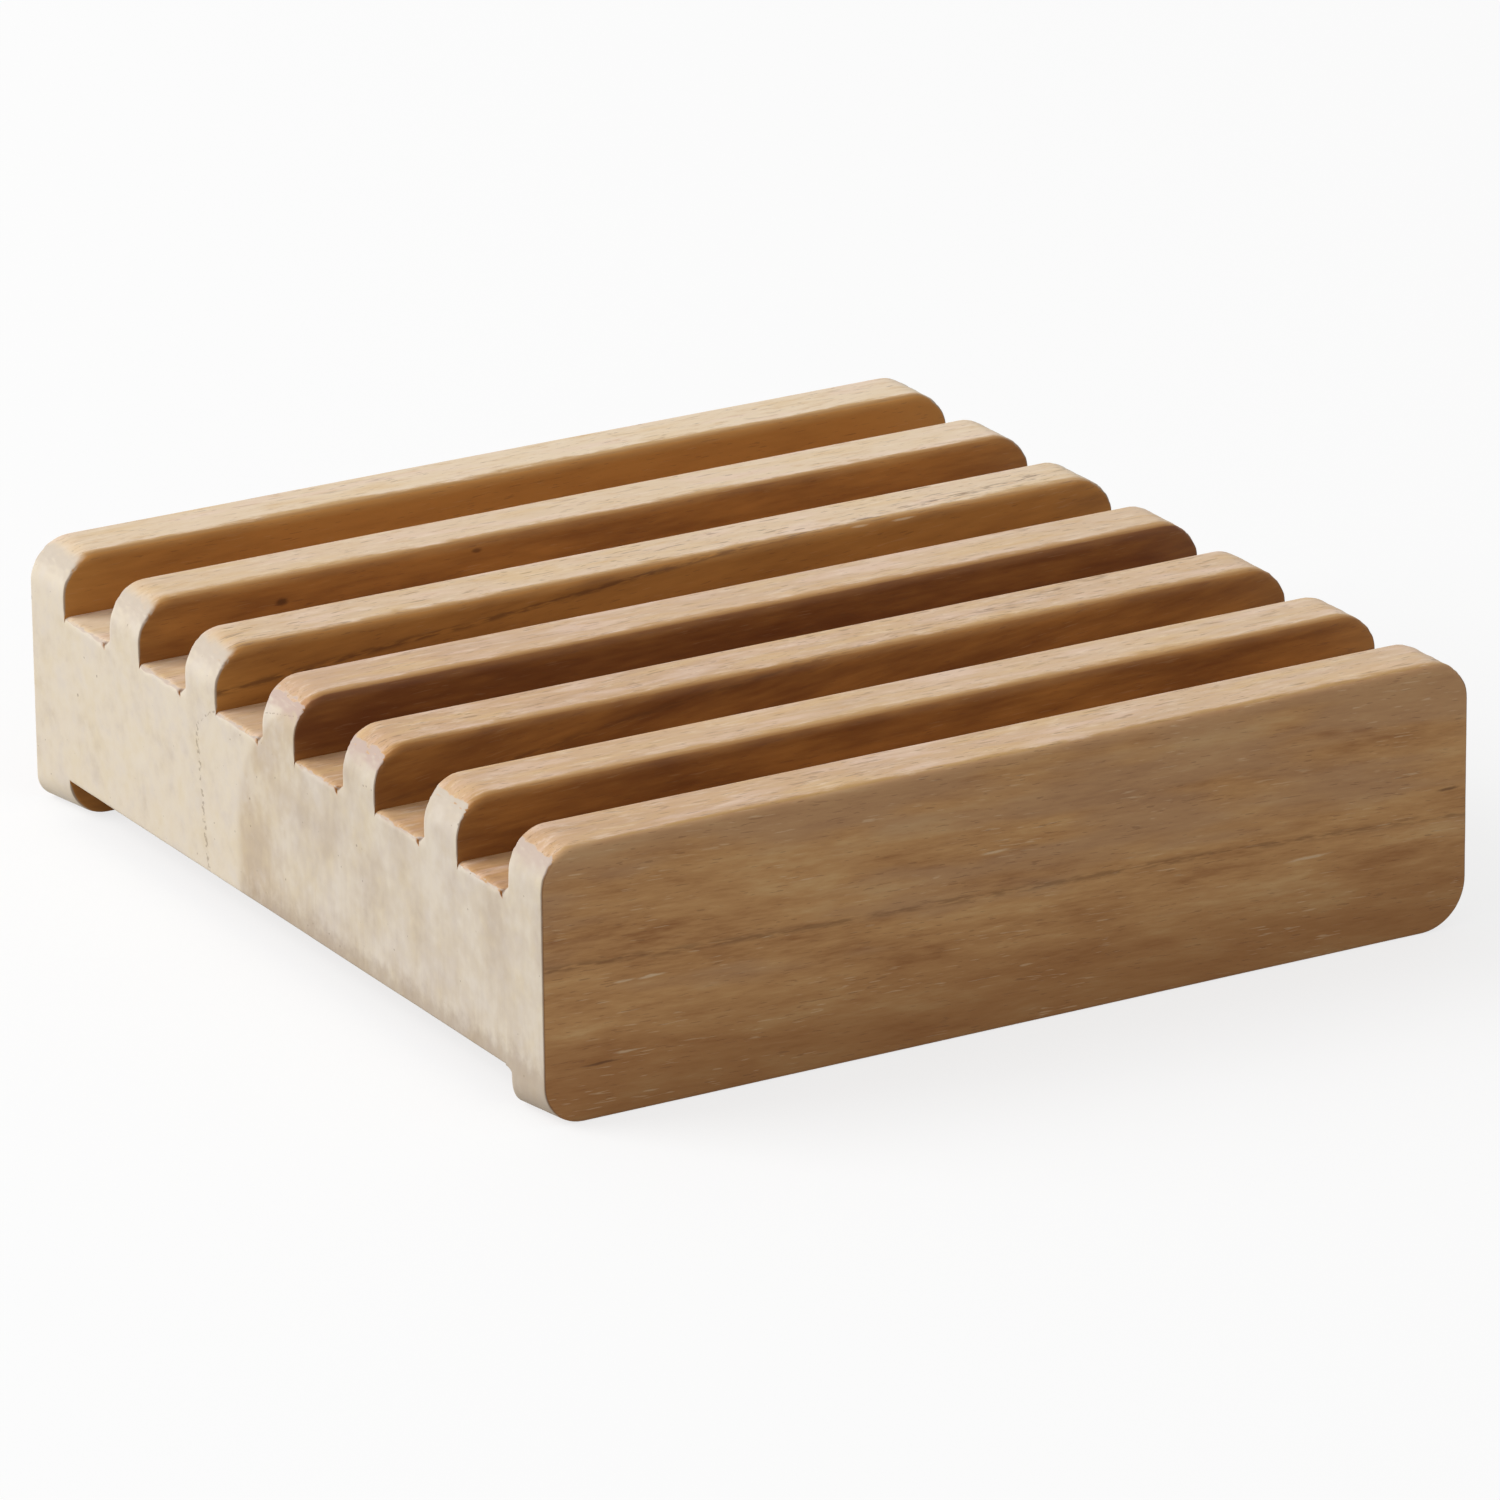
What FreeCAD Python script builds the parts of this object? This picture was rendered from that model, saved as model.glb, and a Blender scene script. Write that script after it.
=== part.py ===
import FreeCAD, Part
import os

# A slatted wooden soap dish. Upright slats stand side by side with lower spacer strips glued
# between them, and the grooves left above the spacers drain the soap. The front and rear slats
# reach lower than the rest and are the feet.
# Origin: middle of the footprint, on the surface that the dish stands on. X runs along the slats,
# Y from the front slat to the rear slat, Z up. Sizes are in millimetres.

# Driving dimensions
LENGTH = 93.0           # slats and spacers, end to end
HEIGHT = 25.0           # underside of the feet to the slat tops
SLAT_COUNT = 7
SLAT_THICKNESS = 6.8
GROOVE_WIDTH = 8.0      # also the thickness of a spacer, which fills the space between two slats
GROOVE_DEPTH = 5.5      # slat tops down to the groove floors
FOOT_HEIGHT = 3.6       # how far the outer slats reach below the rest
CORNER_RADIUS = 4.0     # rounded slat ends, seen from the front
ARRIS_RADIUS = 0.8      # sanded long edges of the slats
LIP_RADIUS = 0.5        # sanded ends of the groove floors
UNDERSIDE_RADIUS = 1.0  # lower end edges of the inner slats and the spacers

# Places that follow from those sizes
PITCH = SLAT_THICKNESS + GROOVE_WIDTH
DEPTH = (SLAT_COUNT - 1) * PITCH + SLAT_THICKNESS
FRONT = -DEPTH / 2
GROOVE_FLOOR = HEIGHT - GROOVE_DEPTH
GROUND = 0.0

SAME_PLACE = 1e-6       # points closer than this are one point
ALONG = FreeCAD.Vector(1, 0, 0)
ACROSS = FreeCAD.Vector(0, 1, 0)


def blank(front, thickness, bottom, top):
    """A square-edged strip of full length."""
    corner = FreeCAD.Vector(-LENGTH / 2, front, bottom)
    return Part.makeBox(LENGTH, thickness, top - bottom, corner)


def rounded(strip, direction, height, radius):
    """The strip with its edges that run in one direction at one height rounded off."""
    chosen = []
    for edge in strip.Edges:
        start, end = (corner.Point for corner in edge.Vertexes)
        level = abs(start.z - height) < SAME_PLACE and abs(end.z - height) < SAME_PLACE
        if level and (end - start).cross(direction).Length < SAME_PLACE:
            chosen.append(edge)
    return strip.makeFillet(radius, chosen)


def foot_slat(front):
    """An outer slat: full height, with all four ends rounded and all four long edges sanded."""
    strip = blank(front, SLAT_THICKNESS, GROUND, HEIGHT)
    sanded = rounded(rounded(strip, ALONG, HEIGHT, ARRIS_RADIUS), ALONG, GROUND, ARRIS_RADIUS)
    shaped = rounded(rounded(strip, ACROSS, HEIGHT, CORNER_RADIUS), ACROSS, GROUND, CORNER_RADIUS)
    return sanded.common(shaped)


def inner_slat(front):
    """A slat between two spacers: only its top stands free, and its underside is flush with theirs."""
    strip = blank(front, SLAT_THICKNESS, FOOT_HEIGHT, HEIGHT)
    sanded = rounded(strip, ALONG, HEIGHT, ARRIS_RADIUS)
    shaped = rounded(strip, ACROSS, HEIGHT, CORNER_RADIUS)
    return sanded.common(rounded(shaped, ACROSS, FOOT_HEIGHT, UNDERSIDE_RADIUS))


def spacer(front):
    """A strip that fills the space between two slats up to the groove floor."""
    strip = blank(front, GROOVE_WIDTH, FOOT_HEIGHT, GROOVE_FLOOR)
    return rounded(rounded(strip, ACROSS, GROOVE_FLOOR, LIP_RADIUS), ACROSS, FOOT_HEIGHT, UNDERSIDE_RADIUS)


def dish():
    """Every piece of the dish by name."""
    last = SLAT_COUNT - 1
    pieces = {
        "front_foot_slat": foot_slat(FRONT),
        "rear_foot_slat": foot_slat(FRONT + last * PITCH),
    }
    for place in range(1, last):
        pieces[f"inner_slat_{place}"] = inner_slat(FRONT + place * PITCH)
    for place in range(last):
        pieces[f"spacer_strip_{place + 1}"] = spacer(FRONT + place * PITCH + SLAT_THICKNESS)
    return pieces


os.makedirs("parts", exist_ok=True)
for name, shape in dish().items():
    shape.exportStep(f"parts/{name}.step")
    print(f"{name}: valid {shape.isValid()}, solids {len(shape.Solids)}, volume {shape.Volume:.1f} mm3")
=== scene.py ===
"""Looks of a slatted wooden soap dish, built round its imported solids.

Everything is in metres in the frame of the solids: X along the slats, Y from front to rear, Z up.
The wood's patterns are given in millimetres in the same frame.
"""
import math

import bpy
from mathutils import Color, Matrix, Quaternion, Vector


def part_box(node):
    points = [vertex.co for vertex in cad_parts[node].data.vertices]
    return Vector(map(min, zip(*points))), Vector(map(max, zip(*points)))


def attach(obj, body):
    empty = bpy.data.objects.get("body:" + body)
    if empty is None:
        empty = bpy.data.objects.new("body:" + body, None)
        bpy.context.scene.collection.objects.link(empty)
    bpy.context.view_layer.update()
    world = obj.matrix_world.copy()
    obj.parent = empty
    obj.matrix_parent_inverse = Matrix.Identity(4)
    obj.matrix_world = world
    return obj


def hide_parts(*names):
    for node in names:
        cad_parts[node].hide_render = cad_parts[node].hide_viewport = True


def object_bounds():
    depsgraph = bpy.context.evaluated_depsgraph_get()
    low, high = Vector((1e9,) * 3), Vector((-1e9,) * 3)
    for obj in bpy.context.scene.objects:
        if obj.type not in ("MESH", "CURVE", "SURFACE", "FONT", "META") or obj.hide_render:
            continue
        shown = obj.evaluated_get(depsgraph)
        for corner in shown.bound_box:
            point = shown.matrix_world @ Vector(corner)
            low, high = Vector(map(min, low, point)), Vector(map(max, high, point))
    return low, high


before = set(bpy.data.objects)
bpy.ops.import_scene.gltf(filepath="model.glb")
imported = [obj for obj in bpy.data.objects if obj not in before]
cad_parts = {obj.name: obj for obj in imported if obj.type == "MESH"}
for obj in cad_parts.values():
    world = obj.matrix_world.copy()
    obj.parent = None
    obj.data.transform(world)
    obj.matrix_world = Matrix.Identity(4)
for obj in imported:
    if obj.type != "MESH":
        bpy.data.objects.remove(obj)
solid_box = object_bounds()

MM = 0.001
WHITE = (1.0, 1.0, 1.0, 1.0)
SCREEN_WHITE = 255
TINY = 1e-9             # keeps a division off zero
NOISE_MIDDLE = 0.5      # Blender's noise lies about this value

# Names of the solids, and places read from them
INNER_SLATS = 5
SLATS = ["front_foot_slat"] + [f"inner_slat_{place + 1}" for place in range(INNER_SLATS)] + ["rear_foot_slat"]
SPACERS = [f"spacer_strip_{place + 1}" for place in range(INNER_SLATS + 1)]
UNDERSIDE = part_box(SPACERS[0])[0].z
GROOVE_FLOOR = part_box(SPACERS[0])[1].z

# Places read from them in millimetres, for the wood
FLOOR_HEIGHT = GROOVE_FLOOR / MM
FRONT_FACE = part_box(SLATS[0])[0].y / MM
FIRST_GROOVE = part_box(SPACERS[0])[0].y / MM
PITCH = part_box(SPACERS[1])[0].y / MM - FIRST_GROOVE
HALF_DEPTH = solid_box[1].y / MM

# Roundings of the wood
UPPER_LEFT_CORNER = 4.0 * MM
UPPER_FRONT_SHARE = 0.92    # of that corner, at a slat's front
UPPER_RIGHT_CORNER = 3.6 * MM
FOOT_LEFT_CORNER = 3.9 * MM
FOOT_REAR_SHARE = 0.6       # of that corner, at a slat's rear
FOOT_RIGHT_CORNER = 4.6 * MM
LOWER_CORNER = 0.4 * MM
LIP = 0.6 * MM
FRONT_LONG_EDGE = 0.8 * MM
REAR_LONG_EDGE = 0.45 * MM
LOWER_LONG_EDGE = 0.3 * MM
FRONT_END_EDGE = 0.25 * MM
REAR_END_EDGE = 1.4 * MM
SHARP_EDGE = math.radians(50)   # an edge that turns more than this is not shaded smooth

# Unevenness of the wood: noise is stretched along the grain, and its scale is per millimetre
SLAT_RAGGED = 0.15
LIP_RAGGED = 1.6
RAGGED_NOISE = {"stretch": 1.0, "scale": 1.1, "detail": 2.0}
EDGE_LEAST = 0.7
EDGE_SWING = 0.6
EDGE_NOISE = {"stretch": 3.0, "scale": 0.16, "detail": 1.0}
WOBBLE = 0.05 * MM
WOBBLE_NOISE = {"stretch": 2.0, "scale": 0.11, "detail": 2.0}
POCKET = 0.7 * MM
POCKET_END_SHARE = 0.6      # of the pocket's depth, drawn in from the end

# A slight flat that hand sanding leaves on the upper corners
FACET_SHARE = 0.12
FACET_MIDDLE = math.radians(35)
FACET_HALF = math.radians(17)
FACET_LEAST = 0.1           # keeps a division off zero away from the flat

# Mesh points along, across and up each strip, drawn towards its edges
POINTS_ALONG = 101
POINTS_ACROSS = 35
POINTS_UP = 61
CROWDING = 0.45


class Value:
    """An output socket of a node tree. Arithmetic on it adds the Math nodes that work out the result."""

    def __init__(self, socket):
        self.socket = socket
        self.tree = socket.id_data

    def math(self, operation, *operands):
        return node(self.tree, "ShaderNodeMath", {"operation": operation}, dict(enumerate(operands)))

    def beside(self, name):
        """Another output of the same node."""
        return Value(find_socket(self.socket.node.outputs, name))

    def __add__(self, other):
        return self.math("ADD", self, other)

    def __radd__(self, other):
        return self.math("ADD", other, self)

    def __sub__(self, other):
        return self.math("SUBTRACT", self, other)

    def __rsub__(self, other):
        return self.math("SUBTRACT", other, self)

    def __mul__(self, other):
        return self.math("MULTIPLY", self, other)

    def __rmul__(self, other):
        return self.math("MULTIPLY", other, self)

    def __truediv__(self, other):
        return self.math("DIVIDE", self, other)

    def __rtruediv__(self, other):
        return self.math("DIVIDE", other, self)

    def __abs__(self):
        return self.math("ABSOLUTE", self)

    def __gt__(self, other):
        return self.math("GREATER_THAN", self, other)

    def __lt__(self, other):
        return self.math("LESS_THAN", self, other)

    def at_least(self, other):
        return self.math("MAXIMUM", self, other)

    def at_most(self, other):
        return self.math("MINIMUM", self, other)

    def root(self):
        return self.math("SQRT", self)

    def sign(self):
        return self.math("SIGN", self)

    def fraction(self):
        return self.math("FRACT", self)

    def rise(self, start, full):
        """0 up to start, 1 from full on, and a smooth step between; start may be the larger of the two."""
        settings = {"interpolation_type": "SMOOTHSTEP"}
        inputs = {"Value": self, "From Min": start, "From Max": full}
        return node(self.tree, "ShaderNodeMapRange", settings, inputs)


def find_socket(sockets, key):
    """A socket by number, or the first one in use with that name."""
    if isinstance(key, int):
        return sockets[key]
    return next(socket for socket in sockets if socket.enabled and socket.name == key)


def node(tree, kind, settings=None, inputs=None, output=0):
    """Adds a node, its settings first and then its sockets, and returns one of its outputs if it has any."""
    made = tree.nodes.new(kind)
    for name, setting in (settings or {}).items():
        if name == "stops":
            lay_stops(made.color_ramp, setting)
        else:
            setattr(made, name, setting)
    for name, given in (inputs or {}).items():
        socket = find_socket(made.inputs, name)
        if isinstance(given, Value):
            tree.links.new(given.socket, socket)
        else:
            socket.default_value = given
    return Value(find_socket(made.outputs, output)) if made.outputs else None


def lay_stops(ramp, stops):
    """Gives a colour ramp its stops, each a place and a colour."""
    while len(ramp.elements) < len(stops):
        ramp.elements.new(1.0)
    for element, (place, colour) in zip(ramp.elements, stops):
        element.position = place
        element.color = colour


def paint(red, green, blue):
    """A screen colour of 0 to 255 as the linear colour that a shader takes."""
    screen = Color([part / SCREEN_WHITE for part in (red, green, blue)])
    return (*screen.from_srgb_to_scene_linear(), 1.0)


def blend(factor, first, second):
    """Two colours mixed, the second by factor."""
    inputs = {"Factor": factor, "A": first, "B": second}
    return node(factor.tree, "ShaderNodeMix", {"data_type": "RGBA"}, inputs, "Result")


def vector(tree, x, y, z):
    return node(tree, "ShaderNodeCombineXYZ", None, {"X": x, "Y": y, "Z": z})


def split(value):
    x = node(value.tree, "ShaderNodeSeparateXYZ", None, {0: value})
    return x, x.beside("Y"), x.beside("Z")


class Grain:
    """The look of one strip.

    Its faces along the grain have a tone, a red tinge, pale tops partly painted as sheen and a light or dark
    sawn wall partly painted as shade, and its end roundings are more or less cream. The grain rises along the
    strip by so many millimetres a millimetre.
    A dark growth line, more or less strong, meets its front at a height in millimetres.
    """

    attributes = ("Tone", "Red", "Pale", "Wall", "Cream", "Grain rise", "Line level", "Line strength")
    # How far the growth layers fall from front to rear
    dip = 0.657

    def __init__(self, tone, red, pale, wall, cream, rise, line_at, line):
        self.tone = tone
        self.red = red
        self.pale = pale
        self.wall = wall
        self.cream = cream
        self.rise = rise
        self.line_at = line_at
        self.line = line

    def settings(self, front):
        """The strip's attributes, for a strip whose front lies there."""
        line_level = self.line_at + Grain.dip * front
        values = (self.tone, self.red, self.pale, self.wall, self.cream, self.rise, line_level, self.line)
        return dict(zip(Grain.attributes, values))


# tops paler towards the rear slats: partly paler sapwood, partly painted sheen from the lamp behind
SLAT_GRAIN = [
    Grain(tone=0.00, red=0.0, pale=0.36, wall=0.50, cream=0.4, rise=-0.045, line_at=12.6, line=0.6),
    Grain(tone=0.02, red=0.1, pale=0.44, wall=0.46, cream=1.1, rise=0.030, line_at=23.0, line=0.2),
    Grain(tone=-0.02, red=0.2, pale=0.38, wall=0.44, cream=0.1, rise=0.114, line_at=25.4, line=0.6),
    Grain(tone=-0.06, red=0.7, pale=0.52, wall=0.10, cream=0.0, rise=0.015, line_at=21.0, line=0.2),
    Grain(tone=0.02, red=0.0, pale=0.70, wall=0.88, cream=0.9, rise=0.073, line_at=24.4, line=0.9),
    Grain(tone=0.03, red=0.1, pale=0.78, wall=0.62, cream=0.9, rise=0.020, line_at=22.0, line=0.1),
    Grain(tone=0.08, red=0.0, pale=0.98, wall=1.05, cream=1.0, rise=0.020, line_at=22.5, line=0.0),
]
SPACER_PALE = (0.23, 0.33, 0.33, 0.58, 0.73, 1.03)
SPACER_GRAIN = [
    Grain(tone=0.02, red=0.0, pale=pale, wall=0.5, cream=0.5, rise=0.0, line_at=17.0, line=0.0)
    for pale in SPACER_PALE
]


def strip_tree():
    """Node tree of one strip of wood: rounded ends, sanded edges, and square edges where it is glued."""
    tree = bpy.data.node_groups.new("strip", "GeometryNodeTree")
    lengths = ("Length", "Thickness", "Bottom", "Top", "Front",
               "Upper left corner", "Upper right corner", "Lower left corner", "Lower right corner",
               "Front long edge", "Rear long edge", "Lower long edge", "Front end edge", "Rear end edge",
               "Glue bottom", "Glue top", "Wobble", "Pocket")
    numbers = ("Front glued", "Rear glued", "Upper left front share", "Lower left rear share",
               "Facet", "Ragged")
    for name in lengths + numbers + Grain.attributes:
        tree.interface.new_socket(name, in_out="INPUT", socket_type="NodeSocketFloat")
    for name in ("Points along", "Points across", "Points up"):
        tree.interface.new_socket(name, in_out="INPUT", socket_type="NodeSocketInt")
    tree.interface.new_socket("Finish", in_out="INPUT", socket_type="NodeSocketMaterial")
    tree.interface.new_socket("Strip", in_out="OUTPUT", socket_type="NodeSocketGeometry")
    given = node(tree, "NodeGroupInput").beside

    half_length = given("Length") / 2
    half_thickness = given("Thickness") / 2
    half_height = (given("Top") - given("Bottom")) / 2
    middle_height = (given("Top") + given("Bottom")) / 2
    block = node(tree, "GeometryNodeMeshCube", None, {
        "Size": vector(tree, half_length * 2, half_thickness * 2, half_height * 2),
        "Vertices X": given("Points along"),
        "Vertices Y": given("Points across"),
        "Vertices Z": given("Points up"),
    })

    def crowd(place, half):
        """Draws evenly spaced points towards the two edges."""
        share = place / half
        return half * share * (1 + CROWDING - CROWDING * share * share)

    even_x, even_y, even_z = split(node(tree, "GeometryNodeInputPosition"))
    x = crowd(even_x, half_length)
    y = crowd(even_y, half_thickness)
    z = crowd(even_z, half_height)
    height = z + middle_height
    depth = y + half_thickness + given("Front")

    def either(choice, yes, no):
        """The first input where choice is 1, the second where it is 0."""
        return no + (yes - no) * choice

    def noise(stretch, scale, detail):
        """Noise in the frame of the dish, so that strips that meet agree."""
        place = vector(tree, x / stretch, depth, height)
        inputs = {"Vector": place, "Scale": scale / MM, "Detail": detail}
        return node(tree, "ShaderNodeTexNoise", None, inputs)

    # Corners of the front view: each square of the corner's size is drawn in to a quarter circle
    upper = z > 0
    ragged = 1 + given("Ragged") * (noise(**RAGGED_NOISE) - NOISE_MIDDLE) * upper
    to_rear = (y / half_thickness + 1) / 2
    upper_left = given("Upper left corner") * either(to_rear, 1, given("Upper left front share"))
    upper_corner = either(x > 0, given("Upper right corner"), upper_left)
    lower_left = given("Lower left corner") * either(to_rear, given("Lower left rear share"), 1)
    lower_corner = either(x > 0, given("Lower right corner"), lower_left)
    corner = either(upper, upper_corner, lower_corner) * ragged
    past_x = (abs(x) - (half_length - corner)).at_least(0)
    past_z = (abs(z) - (half_height - corner)).at_least(0)
    reach = (past_x * past_x + past_z * past_z).root().at_least(TINY)
    turn_x = past_x / reach
    turn_z = past_z / reach
    to_facet = turn_x * math.cos(FACET_MIDDLE) + turn_z * math.sin(FACET_MIDDLE)
    flat = math.cos(FACET_HALF) / to_facet.at_least(FACET_LEAST)
    flattened = 1 - given("Facet") * upper * (1 - flat.at_most(1))
    drawn_in = 1 - past_x.at_least(past_z) / reach * flattened
    normal_x = x.sign() * turn_x
    normal_z = z.sign() * turn_z
    round_x = x - x.sign() * past_x * drawn_in
    round_z = z - z.sign() * past_z * drawn_in
    rim = (half_length - abs(x)).at_most(half_height - abs(z))

    # Edges of the side faces: sanded round, and square where the strip is glued
    in_front = y < 0
    end_edge = either(in_front, given("Front end edge"), given("Rear end edge"))
    long_edge = either(in_front, given("Front long edge"), given("Rear long edge"))
    long_edge = either(upper, long_edge, given("Lower long edge"))
    edge = either(normal_z * normal_z, long_edge, end_edge)
    glued = either(in_front, given("Front glued"), given("Rear glued"))
    beside_glue = (height > given("Glue bottom")) * (height < given("Glue top"))
    edge = edge * (EDGE_LEAST + EDGE_SWING * noise(**EDGE_NOISE)) * (1 - glued * beside_glue)
    deep = half_thickness - abs(y)
    over_rim = (edge - rim).at_least(0)
    over_side = (edge - deep).at_least(0)
    over = (over_rim * over_rim + over_side * over_side).root().at_least(TINY)
    eased = 1 - over_rim.at_least(over_side) / over
    sunk = over_rim * eased + given("Wobble") * noise(**WOBBLE_NOISE)

    # A small pocket at the front corner of a groove's floor
    corner_x = half_length - abs(x)
    corner_y = y + half_thickness
    corner_z = half_height - z
    from_corner = (corner_x * corner_x + corner_y * corner_y + corner_z * corner_z).root()
    dent = (given("Pocket") - from_corner).at_least(0)
    placed = vector(
        tree,
        round_x - normal_x * sunk - x.sign() * dent * POCKET_END_SHARE,
        y - y.sign() * over_side * eased + half_thickness + given("Front"),
        round_z - normal_z * sunk - dent + middle_height,
    )
    shape = node(tree, "GeometryNodeSetPosition", None, {"Geometry": block, "Position": placed})

    # Smooth roundings, with the glued edges left sharp
    smooth = node(tree, "GeometryNodeSetShadeSmooth", {"domain": "FACE"}, {"Geometry": shape})
    sharp = node(tree, "GeometryNodeInputMeshEdgeAngle") > SHARP_EDGE
    shape = node(tree, "GeometryNodeSetShadeSmooth", {"domain": "EDGE"}, {
        "Geometry": smooth, "Selection": sharp, "Shade Smooth": False,
    })
    for name in Grain.attributes:
        shape = node(tree, "GeometryNodeStoreNamedAttribute", {"data_type": "FLOAT", "domain": "POINT"}, {
            "Geometry": shape, "Name": name, "Value": given(name),
        })
    solid = node(tree, "GeometryNodeRealizeInstances", None, {"Geometry": shape})
    finished = node(tree, "GeometryNodeSetMaterial", None, {"Geometry": solid, "Material": given("Finish")})
    node(tree, "NodeGroupOutput", None, {"Strip": finished})
    return tree


def make_strip(tree, name, finish, grain, sizes):
    """One strip in place of its solid, as a plain mesh that rides on the dish."""
    low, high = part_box(name)
    settings = {
        "Length": high.x - low.x, "Thickness": high.y - low.y, "Bottom": low.z, "Top": high.z, "Front": low.y,
        "Points along": POINTS_ALONG, "Points across": POINTS_ACROSS, "Points up": POINTS_UP,
        "Wobble": WOBBLE, "Finish": finish,
    }
    settings.update(grain.settings(low.y / MM))
    settings.update(sizes)
    strip = bpy.data.objects.new(name + "_wood", bpy.data.meshes.new(name + "_wood"))
    bpy.context.scene.collection.objects.link(strip)
    maker = strip.modifiers.new("strip", "NODES")
    maker.node_group = tree
    for socket in tree.interface.items_tree:
        if socket.in_out == "INPUT":
            maker[socket.identifier] = settings[socket.name]
    ready = strip.evaluated_get(bpy.context.evaluated_depsgraph_get())
    mesh = bpy.data.meshes.new_from_object(ready)
    strip.modifiers.clear()
    strip.data = mesh
    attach(strip, "root")
    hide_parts(name)


class Pattern:
    """A noise in the wood: its length along X and width across in millimetres, and a shift of its own."""

    shift_ways = (1, 2, 3)      # times the shift along X, Y and Z

    def __init__(self, length, width, shift, detail=2.0, roughness=0.5):
        self.scale = (1 / length, 1 / width, 1 / width)
        self.location = tuple(way * shift for way in Pattern.shift_ways)
        self.detail = detail
        self.roughness = roughness


class Coat:
    """A colour laid over the wood, at most by its share.

    With a start and a full value, it comes in as a measure goes from one to the other, up or down.
    Without them, the measure is the coat's own mask.
    """

    def __init__(self, colour, share=1.0, start=None, full=None):
        self.colour = colour
        self.share = share
        self.start = start
        self.full = full

    def over(self, colour, measure, where=None):
        """A colour with this coat on it, only where the mask says if there is one."""
        amount = measure if self.start is None else measure.rise(self.start, self.full)
        amount = self.share * amount
        return blend(amount if where is None else amount * where, colour, self.colour)


class Mark:
    """A single mark on the front of a slat, or set in from there on its rounded edge.

    Its place, length, height and inset are in millimetres, and it is dark or pale by a share.
    """

    core = 0.3      # share of the mark's size that has the full coat
    waver_along = 0.6
    waver_up = 0.4
    dark_colour = paint(70, 38, 18)
    pale_colour = paint(240, 216, 180)

    def __init__(self, slat, x, z, long, high, dark=0.0, pale=0.0, inset=0.0):
        self.place = (x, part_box(slat)[0].y / MM + inset, z)
        self.long = long
        self.high = high
        colour = Mark.dark_colour if dark else Mark.pale_colour
        self.coat = Coat(colour, dark or pale, start=1.0, full=Mark.core)

    def over(self, colour, on, waver):
        """A colour with this mark on it, its outline moved by a pattern."""
        x, y, z = self.place
        off_x = (on.x - x + Mark.waver_along * waver) / self.long
        off_y = (on.y - y) / self.high
        off_z = (on.z - z + Mark.waver_up * waver) / self.high
        return self.coat.over(colour, (off_x * off_x + off_y * off_y + off_z * off_z).root())


MARKS = [
    Mark("inner_slat_5", x=-32.0, z=22.7, long=0.9, high=0.5, dark=0.7),
    Mark("inner_slat_5", x=-12.0, z=24.0, long=0.7, high=0.35, dark=0.6),
    Mark("inner_slat_4", x=19.7, z=24.8, long=1.2, high=0.18, pale=0.4, inset=0.3),
    Mark("inner_slat_4", x=24.2, z=24.7, long=1.6, high=0.18, pale=0.45, inset=0.2),
    Mark("front_foot_slat", x=-36.0, z=11.9, long=1.8, high=0.16, pale=0.6),
    Mark("front_foot_slat", x=-38.6, z=12.0, long=1.4, high=0.16, pale=0.5),
    Mark("front_foot_slat", x=-38.5, z=5.6, long=1.6, high=0.16, pale=0.5),
    Mark("front_foot_slat", x=-41.0, z=5.0, long=2.6, high=0.2, dark=0.6),
    Mark("front_foot_slat", x=-2.0, z=16.4, long=1.8, high=0.2, pale=0.5),
    Mark("front_foot_slat", x=30.0, z=9.6, long=3.0, high=0.2, pale=0.5),
    Mark("front_foot_slat", x=44.5, z=13.2, long=1.6, high=0.25, dark=0.6),
]

# Places, heights and wanderings below are in millimetres. A turn says how far a face looks along an axis,
# from 0 to 1, and a range gives the values where something starts and where it is full.

# Lie and tone of the long grain
DRIFT = Pattern(length=38.0, width=11.0, shift=3.1)
WANDER_ACROSS = 0.8
WANDER_UP = 1.2
PATCHES = Pattern(length=12.0, width=2.4, shift=1.7)
STREAKS = Pattern(length=4.5, width=0.6, shift=5.3, detail=3.0, roughness=0.6)
FIBRES = Pattern(length=1.8, width=0.22, shift=8.9, roughness=0.6)
MIDDLE_TONE = 0.5
PATCH_CONTRAST = 0.8
STREAK_CONTRAST = 0.45
FIBRE_CONTRAST = 0.30
WOOD_TONES = [
    (0.20, paint(160, 108, 62)), (0.42, paint(194, 144, 92)),
    (0.56, paint(206, 157, 103)), (0.80, paint(222, 182, 128)),
]
CLOUDS = Pattern(length=20.0, width=3.6, shift=41.0)
GREY_HEIGHT = 16.0
GREY_PER_MM = 0.02
GREYED = Coat(paint(188, 150, 116), share=0.45, start=-0.05, full=0.15)
# painted shade: the long grain darker towards the foot
FOOT_SHADE_WANDER = 6.0
FOOT_SHADE = Coat(paint(152, 98, 50), share=0.55, start=11.0, full=2.0)
REDDENED = Coat(paint(182, 118, 82), share=0.4)

# Groove walls, sawn, and darker than the sanded faces with painted shade for the deep grooves
INSIDE = (1.0, 2.0)         # from the outer faces inwards
WALL_TURN = (0.12, 0.6)
WALL_FRAY = 0.4
WALL_SHADE_SHARE = 0.92
SAWN_SHADE_PATCHES = 1.3
SAWN_SHADE_STREAKS = 0.7
SAWN_SHADE_PER_MM = 0.001
SAWN_AND_SHADED_DARK = paint(106, 54, 10)
SAWN_AND_SHADED_LIGHT = Coat(paint(192, 132, 60), start=-0.3, full=1.3)
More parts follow.
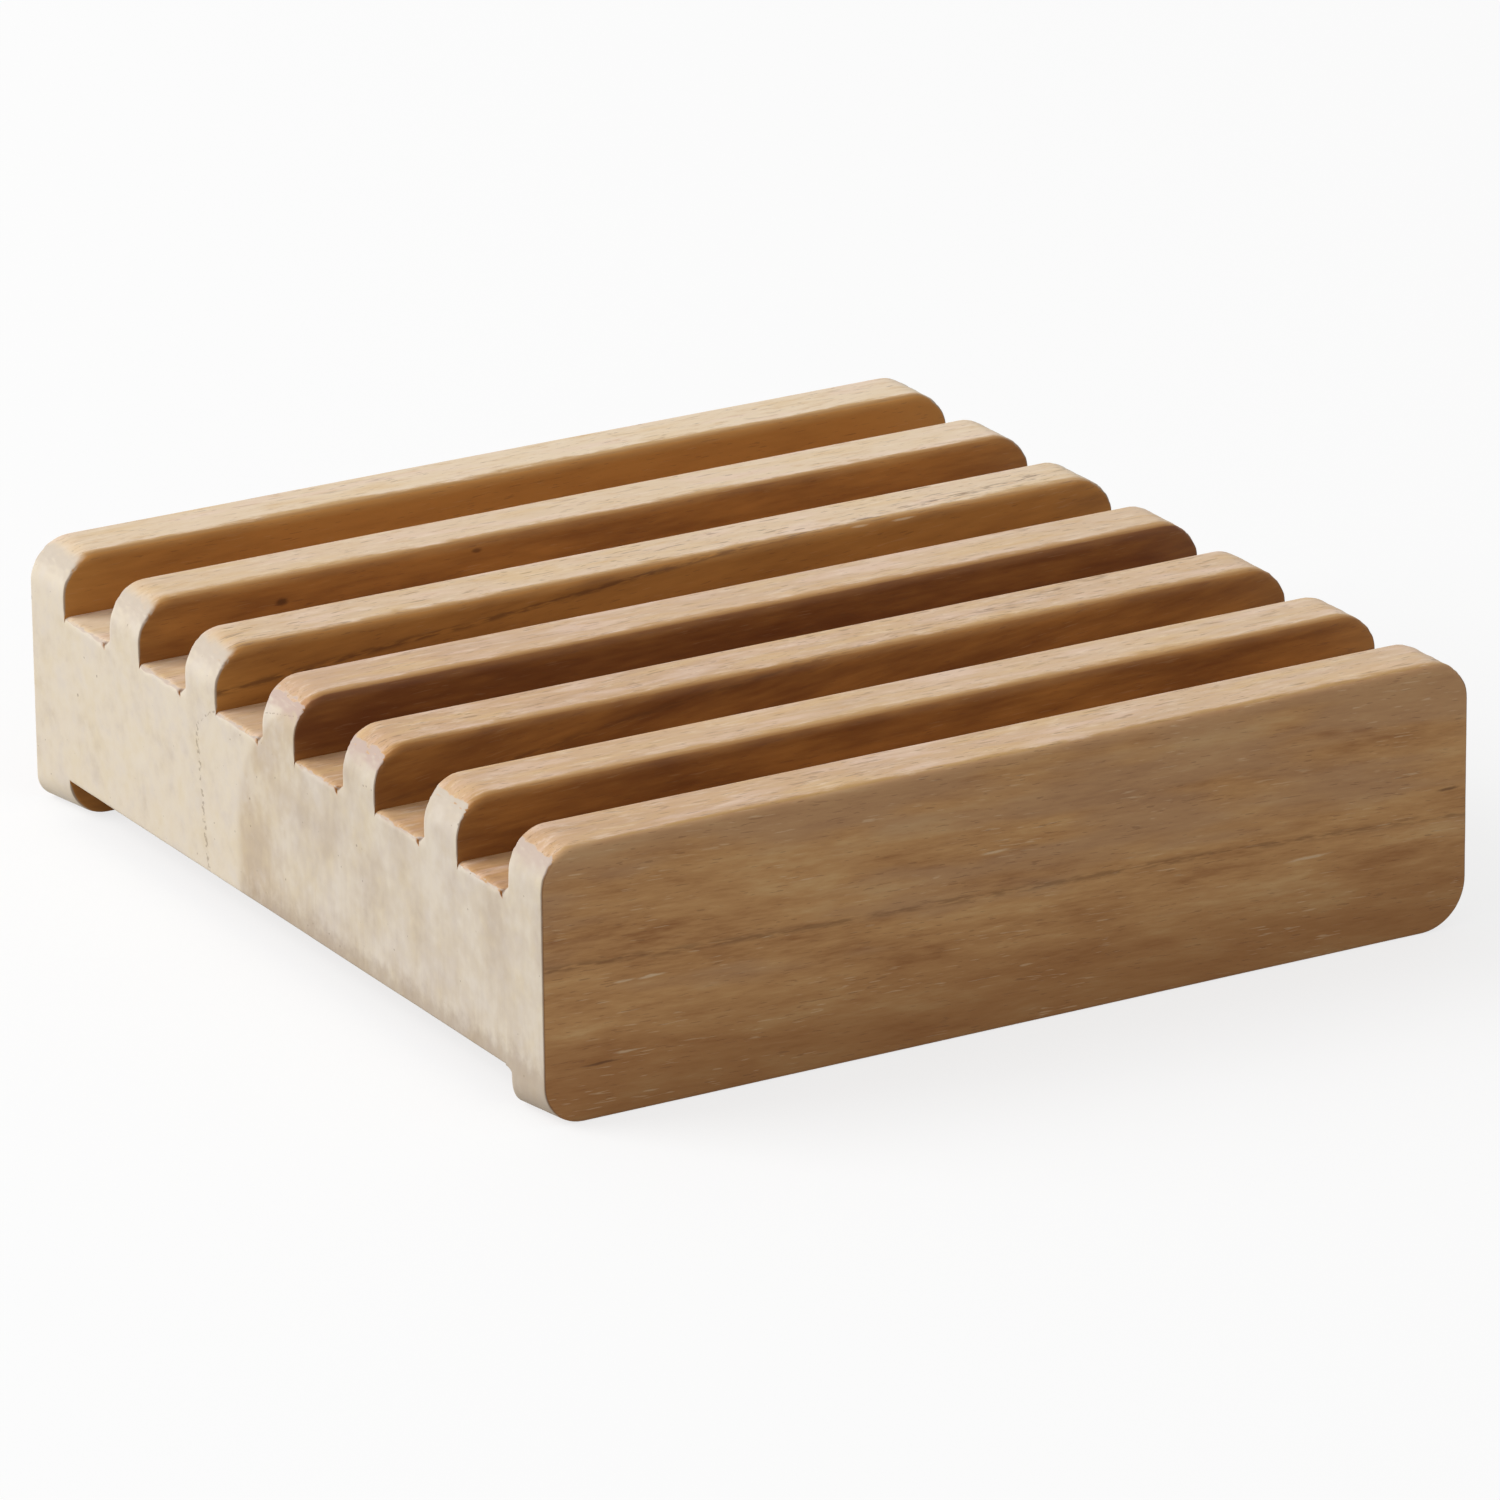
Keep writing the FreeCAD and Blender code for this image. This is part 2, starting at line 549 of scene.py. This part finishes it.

# Tops, sanded pale and dry and painted paler still as sheen, with painted shade as a golden band along the
# front edge where they turn down from the lamp
LEVEL_TURN = (0.80, 0.98)
LEVEL_ON_ROUNDS = 0.3
BAND_LEAD = 0.1             # share of the pitch ahead of a slat's front where its count starts
BAND_WIDTH = (1.7, 0.8)
BAND_FOOT = (0.5, 1.0)      # above the groove floors
BAND_FRAY = 1.6
OUTER_BAND_LOSS = 0.5
DRY_SPOTS = Pattern(length=2.8, width=0.6, shift=53.0, detail=3.0, roughness=0.65)
WARM_SPOTS = Pattern(length=10.0, width=1.8, shift=61.0)
PALE_PER_MM = 0.0035
PALE_AND_SHEEN_TOP = Coat(paint(236, 214, 184))
PINK_TOP = Coat(paint(236, 208, 190), share=0.45, start=0.0, full=0.22)
YELLOW_TOP = Coat(paint(224, 190, 136), share=0.40, start=0.0, full=-0.20)
CHALKY_TOP = Coat(paint(248, 230, 208), share=0.35, start=0.0, full=0.25)
WORN_TOP = Coat(paint(206, 164, 110), share=0.45, start=-0.02, full=-0.24)
# painted shade: the tops golden and darker along their front edges, where they turn away from the lamp
GOLDEN_EDGE_SHADE = Coat(paint(188, 148, 84), share=0.65)
BROWN_EDGE_SHADE = Coat(paint(158, 106, 50), share=0.6, start=1.2, full=0.5)

# Growth lines, pores, nicks and flecks; those on the tops differ a little
LINE_WIDTH = (0.5, 0.05)
LINE_DASHES = Pattern(length=2.4, width=0.3, shift=11.0, roughness=0.6)
DASH_START = -0.14
DASH_START_ON_TOPS = 0.12
DASH_FULL = 0.10
DASH_FULL_ON_TOPS = 0.04
GROWTH_LINE = Coat(paint(98, 62, 34), share=0.72)
PORES = Pattern(length=1.6, width=0.15, shift=14.0, detail=1.0)
PORE_SIZE = (0.16, 0.23)
PORES_LOST_ON_TOPS = 0.02
PORE_SHARE = 0.35
PORE_SHARE_ON_TOPS = 0.20
PORE_DARK = Coat(paint(116, 76, 44))
NICKS = Pattern(length=2.6, width=0.36, shift=17.0, detail=1.0)
NICK_SHARE = 0.20
NICK_SHARE_WITH_LINE = 0.35
NICK_DARK = Coat(paint(126, 92, 60), start=0.13, full=0.22)
FLECKS = Pattern(length=2.2, width=0.16, shift=19.0, detail=1.0)
FLECK_SIZE = (0.15, 0.24)
FLECK_CLUSTERS = Pattern(length=11.0, width=4.0, shift=71.0)
CLUSTER_SIZE = (-0.08, 0.08)
FLECKS_LOST = 0.8           # on walls and on tops
FLECK_PALE = Coat(paint(236, 208, 170), share=0.40)
LONG_RELIEF = 0.5
PORE_DEPTH = 0.8

# End grain: cream behind a growth step, greyer and more mottled in front of it
BLOTCHES = Pattern(length=6.0, width=6.0, shift=23.0, detail=3.0, roughness=0.6)
MOTTLE = Pattern(length=1.4, width=1.4, shift=27.0, detail=3.0, roughness=0.6)
SPECKS = Pattern(length=0.35, width=0.35, shift=29.0, roughness=0.6)
UPRIGHT_STREAKS = Pattern(length=6.0, width=0.7, shift=33.0, roughness=0.6)
YELLOWING = Pattern(length=3.0, width=3.0, shift=59.0, detail=3.0, roughness=0.6)
STEP_PLACE = 7.6
STEP_STRAIGHT = 11.0        # height up to which the step stands upright
STEP_BOW = 0.055
STEP_FRAY = 1.6
STEP_WIDTH = (-0.6, 1.0)
REAR_CREAM = paint(226, 213, 193)
STEP_GREY = paint(204, 185, 159)
FRONT_GREY = Coat(paint(213, 199, 180), start=0.0, full=14.0)
YELLOW_END = Coat(paint(222, 204, 166), share=0.30, start=-0.02, full=0.20)
COOL_END = Coat(paint(214, 204, 198), share=0.30, start=0.0, full=-0.18)
STREAK_HEIGHT = (5.0, 13.0)
STREAKS_LOST_ABOVE = 0.7
STREAK_SHARE = 0.5
BLOTCH_CONTRAST = 0.8
FRONT_BLOTCH_CONTRAST = 1.1
MOTTLE_CONTRAST = 0.6
DARK_BLOTCH = Coat(paint(182, 162, 140), share=0.40, start=0.05, full=-0.4)
PALE_BLOTCH = Coat(paint(236, 227, 212), share=0.40, start=-0.05, full=0.4)
SOILED_END_WANDER = 3.0
SOILED_END = Coat(paint(160, 138, 116), share=0.45, start=6.5, full=4.0)

# A dotted ring of pores behind the step, and odd pits
RING_PLACE = 13.1
RING_LEAN = 0.13
RING_STRAIGHT = 16.2
RING_BOW = 0.38
RING_JITTER = Pattern(length=1.0, width=0.8, shift=31.0)
RING_JITTER_WIDTH = 0.9
RING_WIDTH = (0.34, 0.08)
RING_DOTS = Pattern(length=0.4, width=0.4, shift=37.0, detail=1.0)
RING_DOT_SIZE = (0.0, 0.08)
RING_DARK = Coat(paint(130, 106, 78), share=0.5)
PITS = Pattern(length=0.5, width=0.5, shift=43.0, detail=0.0)
PIT_SIZE = (0.33, 0.37)
PIT_DARK = Coat(paint(120, 92, 64), share=0.5)
END_RELIEF = 0.6

# Where end grain gives way to long grain
END_FRAYING = Pattern(length=0.7, width=0.7, shift=47.0)
END_FRAY = 0.06
LIP_FRAY = 0.7
LIP_REACH = (1.0, 0.3)
BEHIND = (4.0, 13.0)
END_TURN_START = 0.57
END_TURN_FULL = 0.64
SOONER_BEHIND = 0.34
LATER_ON_LIPS = 0.1
ROUND_SIDE = (0.97, 0.75)
ROUND_UP = (0.2, 0.5)
ROUND_SHARE = 0.85
ROUND_PINK = paint(194, 168, 156)
ROUND_CREAM = paint(203, 189, 172)
END_EDGE_DARK = Coat(paint(112, 74, 42), share=0.6, start=0.45, full=0.9)
POCKET_FACING = 0.3
# painted shade in the small pockets at the front corners of the groove floors, on top of their dents
POCKET_SHADE = Coat(paint(96, 64, 40), share=0.7, start=0.40, full=0.12)

# Gloss and relief
END_RELIEF_SHARE = 0.5
END_SINK = 0.2
BUMP_STRENGTH = 0.3
BUMP_DEPTH = 0.04 * MM
ROUGHNESS = 0.56
ROUGHNESS_SWING = 0.12
SPECULAR = 0.3


class Surface:
    """Where a shader's point lies on the dish, in millimetres, and which way it faces there."""

    def __init__(self, tree):
        self.tree = tree
        metres = node(tree, "ShaderNodeTexCoord", None, None, "Object")
        self.spot = node(tree, "ShaderNodeVectorMath", {"operation": "SCALE"}, {0: metres, "Scale": 1 / MM})
        self.x, self.y, self.z = split(self.spot)
        facing = node(tree, "ShaderNodeNewGeometry", None, None, "Normal")
        self.facing_x, self.facing_y, self.facing_z = split(facing)

    def attribute(self, name):
        return node(self.tree, "ShaderNodeAttribute", {"attribute_name": name}, None, "Fac")

    def noise(self, pattern, place=None):
        """A pattern at this point, or at another place, as a value about 0."""
        scaled = node(self.tree, "ShaderNodeMapping", {"vector_type": "POINT"}, {
            "Vector": self.spot if place is None else place,
            "Location": pattern.location,
            "Scale": pattern.scale,
        })
        return node(self.tree, "ShaderNodeTexNoise", None, {
            "Vector": scaled, "Scale": 1.0, "Detail": pattern.detail, "Roughness": pattern.roughness,
        }) - NOISE_MIDDLE


class Lie:
    """How the grain lies at a point: the patterns that follow it, and the part of a strip that it is on."""

    def __init__(self, on):
        drift = on.noise(DRIFT)
        risen = on.z + WANDER_UP * drift - on.attribute("Grain rise") * on.x
        self.place = vector(on.tree, on.x, on.y + WANDER_ACROSS * drift, risen)
        self.patches = on.noise(PATCHES, self.place)
        self.streaks = on.noise(STREAKS, self.place)
        self.fibres = on.noise(FIBRES, self.place)
        self.dry = on.noise(DRY_SPOTS, self.place)
        self.warm = on.noise(WARM_SPOTS, self.place)
        self.inside = (HALF_DEPTH - abs(on.y)).rise(*INSIDE)
        self.wall = (abs(on.facing_y) + WALL_FRAY * self.dry).rise(*WALL_TURN) * self.inside
        self.level = (on.facing_z + LEVEL_ON_ROUNDS * abs(on.facing_x)).rise(*LEVEL_TURN)


def bare_wood(on, lie):
    """Colour of the wood before its faces are told apart, greyer higher up and darker at the foot with
    painted shade.
    """
    tone = MIDDLE_TONE + on.attribute("Tone")
    tone = tone + PATCH_CONTRAST * lie.patches + STREAK_CONTRAST * lie.streaks + FIBRE_CONTRAST * lie.fibres
    colour = node(on.tree, "ShaderNodeValToRGB", {"stops": WOOD_TONES}, {"Fac": tone})
    colour = GREYED.over(colour, on.noise(CLOUDS, lie.place) + GREY_PER_MM * (on.z - GREY_HEIGHT))
    # painted shade, darker towards the foot
    colour = FOOT_SHADE.over(colour, on.z + FOOT_SHADE_WANDER * lie.patches)
    return REDDENED.over(colour, on.attribute("Red"))


def sawn_and_shaded_walls(on, lie, colour):
    """A colour with the dark sawn walls of the grooves on it, their darkness partly painted shade of the
    grooves.
    """
    # painted shade: the walls' colour, set lighter or darker per slat, stands partly for the shade deep in
    # the grooves
    sawn = on.attribute("Wall") + SAWN_SHADE_PER_MM * on.x
    sawn = sawn + SAWN_SHADE_PATCHES * lie.patches + SAWN_SHADE_STREAKS * lie.streaks
    return blend(WALL_SHADE_SHARE * lie.wall, colour, SAWN_AND_SHADED_LIGHT.over(SAWN_AND_SHADED_DARK, sawn))


def tops_with_painted_sheen_and_shade(on, lie, colour):
    """A colour with the pale tops on it, partly painted sheen, and a band of painted shade along their front
    edges.
    """
    past_front = (((on.y - FRONT_FACE) / PITCH + BAND_LEAD).fraction() - BAND_LEAD) * PITCH
    to_band = past_front + BAND_FRAY * (lie.dry + lie.warm) + OUTER_BAND_LOSS * (1 - lie.inside)
    near = to_band.rise(*BAND_WIDTH) * (on.z - FLOOR_HEIGHT).rise(*BAND_FOOT)
    band = near * on.facing_z.rise(*LEVEL_TURN)
    top = lie.level * (1 - near)
    # painted sheen: the level tops are painted paler, partly sanded wood and partly the sheen of light on
    # them
    colour = PALE_AND_SHEEN_TOP.over(colour, on.attribute("Pale") + PALE_PER_MM * on.x, top)
    colour = PINK_TOP.over(colour, lie.warm, top)
    colour = YELLOW_TOP.over(colour, lie.warm, top)
    colour = CHALKY_TOP.over(colour, lie.dry, top)
    colour = WORN_TOP.over(colour, lie.dry, top)
    # painted shade along the front edges of the tops
    colour = GOLDEN_EDGE_SHADE.over(colour, band)
    return BROWN_EDGE_SHADE.over(colour, past_front, band * lie.inside)


def growth_lines(on, lie, colour):
    """A colour with a dark growth line on it, broken into dashes."""
    _, lie_y, lie_z = split(lie.place)
    from_line = abs(lie_z + Grain.dip * lie_y - on.attribute("Line level"))
    dash_start = DASH_START + DASH_START_ON_TOPS * lie.level
    dash_full = DASH_FULL + DASH_FULL_ON_TOPS * lie.level
    dashes = on.noise(LINE_DASHES, lie.place).rise(dash_start, dash_full)
    return GROWTH_LINE.over(colour, from_line.rise(*LINE_WIDTH) * dashes, on.attribute("Line strength"))


def nicks_and_flecks(on, lie, colour):
    """A colour with dark nicks on the tops, pale flecks on the other faces, and the single marks."""
    nick_share = NICK_SHARE + NICK_SHARE_WITH_LINE * on.attribute("Line strength")
    colour = NICK_DARK.over(colour, on.noise(NICKS, lie.place), nick_share * lie.level)
    flecks = on.noise(FLECKS, lie.place).rise(*FLECK_SIZE) * on.noise(FLECK_CLUSTERS).rise(*CLUSTER_SIZE)
    kept = (1 - FLECKS_LOST * lie.wall) * (1 - FLECKS_LOST * lie.level)
    colour = FLECK_PALE.over(colour, flecks, kept)
    for mark in MARKS:
        colour = mark.over(colour, on, lie.dry)
    return colour


def long_grain(on):
    """Colour and relief of the faces along the grain."""
    lie = Lie(on)
    colour = bare_wood(on, lie)
    colour = sawn_and_shaded_walls(on, lie, colour)
    colour = tops_with_painted_sheen_and_shade(on, lie, colour)
    colour = growth_lines(on, lie, colour)
    pores = (on.noise(PORES, lie.place) - PORES_LOST_ON_TOPS * lie.level).rise(*PORE_SIZE)
    colour = PORE_DARK.over(colour, pores, PORE_SHARE + PORE_SHARE_ON_TOPS * lie.level)
    colour = nicks_and_flecks(on, lie, colour)
    return colour, LONG_RELIEF * (lie.fibres + lie.streaks) - PORE_DEPTH * pores


def end_grain(on):
    """Colour and relief of the sawn ends."""
    mottle = on.noise(MOTTLE)
    above_straight = (on.z - STEP_STRAIGHT).at_least(0)
    step = STEP_PLACE - STEP_BOW * above_straight * above_straight
    ahead = step - on.y + STEP_FRAY * mottle
    front = ahead.rise(*STEP_WIDTH)
    colour = blend(front, REAR_CREAM, FRONT_GREY.over(STEP_GREY, ahead))
    yellowing = on.noise(YELLOWING)
    colour = YELLOW_END.over(colour, yellowing)
    colour = COOL_END.over(colour, yellowing)
    low_down = 1 - STREAKS_LOST_ABOVE * on.z.rise(*STREAK_HEIGHT)
    upright = on.noise(UPRIGHT_STREAKS, vector(on.tree, on.z, on.y, on.y))
    blotches = (BLOTCH_CONTRAST + FRONT_BLOTCH_CONTRAST * front) * on.noise(BLOTCHES)
    uneven = blotches + MOTTLE_CONTRAST * mottle + STREAK_SHARE * front * low_down * upright
    colour = DARK_BLOTCH.over(colour, uneven)
    colour = PALE_BLOTCH.over(colour, uneven)
    colour = SOILED_END.over(colour, on.z + SOILED_END_WANDER * mottle, front)

    # The dotted ring of pores and the pits
    above_straight = (on.z - RING_STRAIGHT).at_least(0)
    ring = RING_PLACE + RING_LEAN * on.z - RING_BOW * above_straight * above_straight
    from_ring = abs(on.y - ring + RING_JITTER_WIDTH * on.noise(RING_JITTER))
    dots = from_ring.rise(*RING_WIDTH) * on.noise(RING_DOTS).rise(*RING_DOT_SIZE)
    colour = RING_DARK.over(colour, dots)
    pits = on.noise(PITS).rise(*PIT_SIZE)
    colour = PIT_DARK.over(colour, pits)
    return colour, END_RELIEF * (on.noise(SPECKS) + mottle) - dots - pits


def end_faces(on):
    """1 on a strip's sawn ends and 0 on its faces along the grain, frayed between, mostly at the lips."""
    behind = on.y.rise(*BEHIND)
    lip = abs(on.z - FLOOR_HEIGHT).rise(*LIP_REACH)
    frayed = abs(on.facing_x) + (END_FRAY + LIP_FRAY * lip) * on.noise(END_FRAYING)
    return frayed.rise(END_TURN_START - SOONER_BEHIND * behind, END_TURN_FULL + LATER_ON_LIPS * lip)


def round_ends(on, end, colour):
    """A colour of the ends, with the upper roundings sanded to another one."""
    rounded = end * abs(on.facing_x).rise(*ROUND_SIDE) * on.facing_z.rise(*ROUND_UP)
    return blend(ROUND_SHARE * rounded, colour, blend(on.attribute("Cream"), ROUND_PINK, ROUND_CREAM))


def end_edges(on, colour):
    """A colour with the dark end edges on it, and painted shade in the pockets at the grooves' front corners.
    """
    halfway_round = -2 * abs(on.facing_x) * on.facing_y     # 1 halfway from an end to a front face
    colour = END_EDGE_DARK.over(colour, halfway_round)
    grooves_along = (on.y - FIRST_GROOVE) / PITCH
    pocket_y = abs((grooves_along + 1 / 2).fraction() - 1 / 2) * PITCH
    pocket_z = on.z - FLOOR_HEIGHT
    from_pocket = (pocket_y * pocket_y + pocket_z * pocket_z).root()
    # painted shade in the pocket
    return POCKET_SHADE.over(colour, from_pocket, abs(on.facing_x) > POCKET_FACING)


def wood(name):
    """Sawn and sanded wood with its grain along X."""
    material = bpy.data.materials.new(name)
    material.use_nodes = True
    tree = material.node_tree
    tree.nodes.clear()
    on = Surface(tree)
    long_colour, long_relief = long_grain(on)
    end_colour, end_relief = end_grain(on)
    end = end_faces(on)
    colour = end_edges(on, blend(end, long_colour, round_ends(on, end, end_colour)))
    relief = long_relief + (END_RELIEF_SHARE * end_relief - END_SINK - long_relief) * end
    bump = node(tree, "ShaderNodeBump", None, {
        "Strength": BUMP_STRENGTH, "Distance": BUMP_DEPTH, "Height": relief,
    })
    shader = node(tree, "ShaderNodeBsdfPrincipled", None, {
        "Base Color": colour,
        "Roughness": ROUGHNESS + ROUGHNESS_SWING * long_relief,
        "Normal": bump,
        "Specular IOR Level": SPECULAR,
    })
    node(tree, "ShaderNodeOutputMaterial", None, {"Surface": shader})
    return material


def slat_sizes(place):
    """Roundings and glued faces of a slat, counted from the front."""
    last = len(SLATS) - 1
    outer = place in (0, last)
    return {
        "Upper left corner": UPPER_LEFT_CORNER,
        "Upper left front share": UPPER_FRONT_SHARE,
        "Upper right corner": UPPER_RIGHT_CORNER,
        "Lower left corner": FOOT_LEFT_CORNER if outer else LOWER_CORNER,
        "Lower left rear share": FOOT_REAR_SHARE if outer else 1.0,
        "Lower right corner": FOOT_RIGHT_CORNER if outer else LOWER_CORNER,
        "Front long edge": FRONT_LONG_EDGE,
        "Rear long edge": REAR_LONG_EDGE,
        "Lower long edge": LOWER_LONG_EDGE,
        "Front end edge": FRONT_END_EDGE,
        "Rear end edge": FRONT_END_EDGE if place == last else REAR_END_EDGE,
        "Glue bottom": UNDERSIDE if outer else 0.0,
        "Glue top": GROOVE_FLOOR,
        "Front glued": 0.0 if place == 0 else 1.0,
        "Rear glued": 0.0 if place == last else 1.0,
        "Facet": FACET_SHARE,
        "Ragged": SLAT_RAGGED,
        "Pocket": 0.0,
    }


def spacer_sizes():
    """Roundings and glued faces of a spacer, which is glued on both sides and square there."""
    return {
        "Upper left corner": LIP,
        "Upper left front share": 1.0,
        "Upper right corner": LIP,
        "Lower left corner": LOWER_CORNER,
        "Lower left rear share": 1.0,
        "Lower right corner": LOWER_CORNER,
        "Front long edge": 0.0,
        "Rear long edge": 0.0,
        "Lower long edge": 0.0,
        "Front end edge": 0.0,
        "Rear end edge": 0.0,
        "Glue bottom": 0.0,
        "Glue top": GROOVE_FLOOR,
        "Front glued": 1.0,
        "Rear glued": 1.0,
        "Facet": 0.0,
        "Ragged": LIP_RAGGED,
        "Pocket": POCKET,
    }


def dish():
    """All thirteen strips of the dish."""
    tree = strip_tree()
    slat_wood = wood("slat_wood")
    spacer_wood = wood("spacer_wood")
    for place, name in enumerate(SLATS):
        make_strip(tree, name, slat_wood, SLAT_GRAIN[place], slat_sizes(place))
    for place, name in enumerate(SPACERS):
        make_strip(tree, name, spacer_wood, SPACER_GRAIN[place], spacer_sizes())


# Photo camera
CAMERA_AZIMUTH = math.radians(-29.80)
CAMERA_ELEVATION = math.radians(19.97)
CAMERA_ROLL = math.radians(-0.67)
CAMERA_DISTANCE = 1010.5 * MM
CAMERA_AIM = Vector((0.63, -1.08, 10.77)) * MM
CAMERA_LENS = 271.0
SENSOR = 36.0

# Studio: even light all round, and one large lamp at the left, behind and above
SURROUND = 0.5
WINDOW_PLACE = (-1.30, 0.78, 1.04)
WINDOW_SIZE = 1.2
WINDOW_SHARE = 0.75
FLOOR_HALF = 4.0
FLOOR_COLOUR = paint(186, 182, 176)     # as it lights the dish
FLOOR_GLOW = 0.75                       # share of plain white where it is seen


def photo_camera():
    """Camera at the photo's place."""
    data = bpy.data.cameras.new("photo_camera")
    data.lens = CAMERA_LENS
    data.sensor_width = SENSOR
    camera = bpy.data.objects.new("photo_camera", data)
    level = math.cos(CAMERA_ELEVATION)
    back = Vector((
        math.sin(CAMERA_AZIMUTH) * level, -math.cos(CAMERA_AZIMUTH) * level, math.sin(CAMERA_ELEVATION),
    ))
    camera.location = CAMERA_AIM + back * CAMERA_DISTANCE
    camera.rotation_mode = "QUATERNION"
    camera.rotation_quaternion = (-back).to_track_quat("-Z", "Y") @ Quaternion((0, 0, 1), CAMERA_ROLL)
    bpy.context.scene.collection.objects.link(camera)
    bpy.context.scene.camera = camera


def lamp(name, place, size, share):
    """A soft square lamp aimed at the dish; a share of 1 lights a face turned to it at full colour."""
    data = bpy.data.lights.new(name, "AREA")
    data.size = size
    data.energy = share * math.pi ** 2 * Vector(place).length_squared
    made = bpy.data.objects.new(name, data)
    made.location = place
    made.rotation_mode = "QUATERNION"
    made.rotation_quaternion = (-Vector(place)).to_track_quat("-Z", "Y")
    bpy.context.scene.collection.objects.link(made)


def seen_directly(tree):
    """1 for what the camera sees, straight, in a gloss or through glass, and 0 for light on the dish."""
    camera = node(tree, "ShaderNodeLightPath", None, None, "Is Camera Ray")
    return camera.at_least(camera.beside("Is Glossy Ray")).at_least(camera.beside("Is Transmission Ray"))


def studio_floor():
    """White floor that keeps a soft shadow."""
    mesh = bpy.data.meshes.new("floor")
    ways = ((-1, -1), (1, -1), (1, 1), (-1, 1))
    corners = [(way_x * FLOOR_HALF, way_y * FLOOR_HALF, 0) for way_x, way_y in ways]
    mesh.from_pydata(corners, [], [list(range(len(corners)))])
    floor = bpy.data.objects.new("floor", mesh)
    bpy.context.scene.collection.objects.link(floor)
    material = bpy.data.materials.new("floor")
    material.use_nodes = True
    tree = material.node_tree
    tree.nodes.clear()
    seen = seen_directly(tree)
    matt = node(tree, "ShaderNodeBsdfDiffuse", None, {"Color": blend(seen, FLOOR_COLOUR, WHITE)})
    glow = node(tree, "ShaderNodeEmission", None, {"Color": WHITE, "Strength": 1.0})
    shader = node(tree, "ShaderNodeMixShader", None, {0: FLOOR_GLOW * seen, 1: matt, 2: glow})
    node(tree, "ShaderNodeOutputMaterial", None, {"Surface": shader})
    mesh.materials.append(material)


def studio_light():
    """An even surround, seen as white, and one large lamp."""
    world = bpy.data.worlds.new("studio")
    world.use_nodes = True
    tree = world.node_tree
    tree.nodes.clear()
    strength = SURROUND + (1.0 - SURROUND) * seen_directly(tree)
    surround = node(tree, "ShaderNodeBackground", None, {"Color": WHITE, "Strength": strength})
    node(tree, "ShaderNodeOutputWorld", None, {"Surface": surround})
    bpy.context.scene.world = world
    lamp("window", WINDOW_PLACE, WINDOW_SIZE, WINDOW_SHARE)


dish()
photo_camera()
studio_floor()
studio_light()
bpy.context.scene.view_settings.view_transform = "Standard"
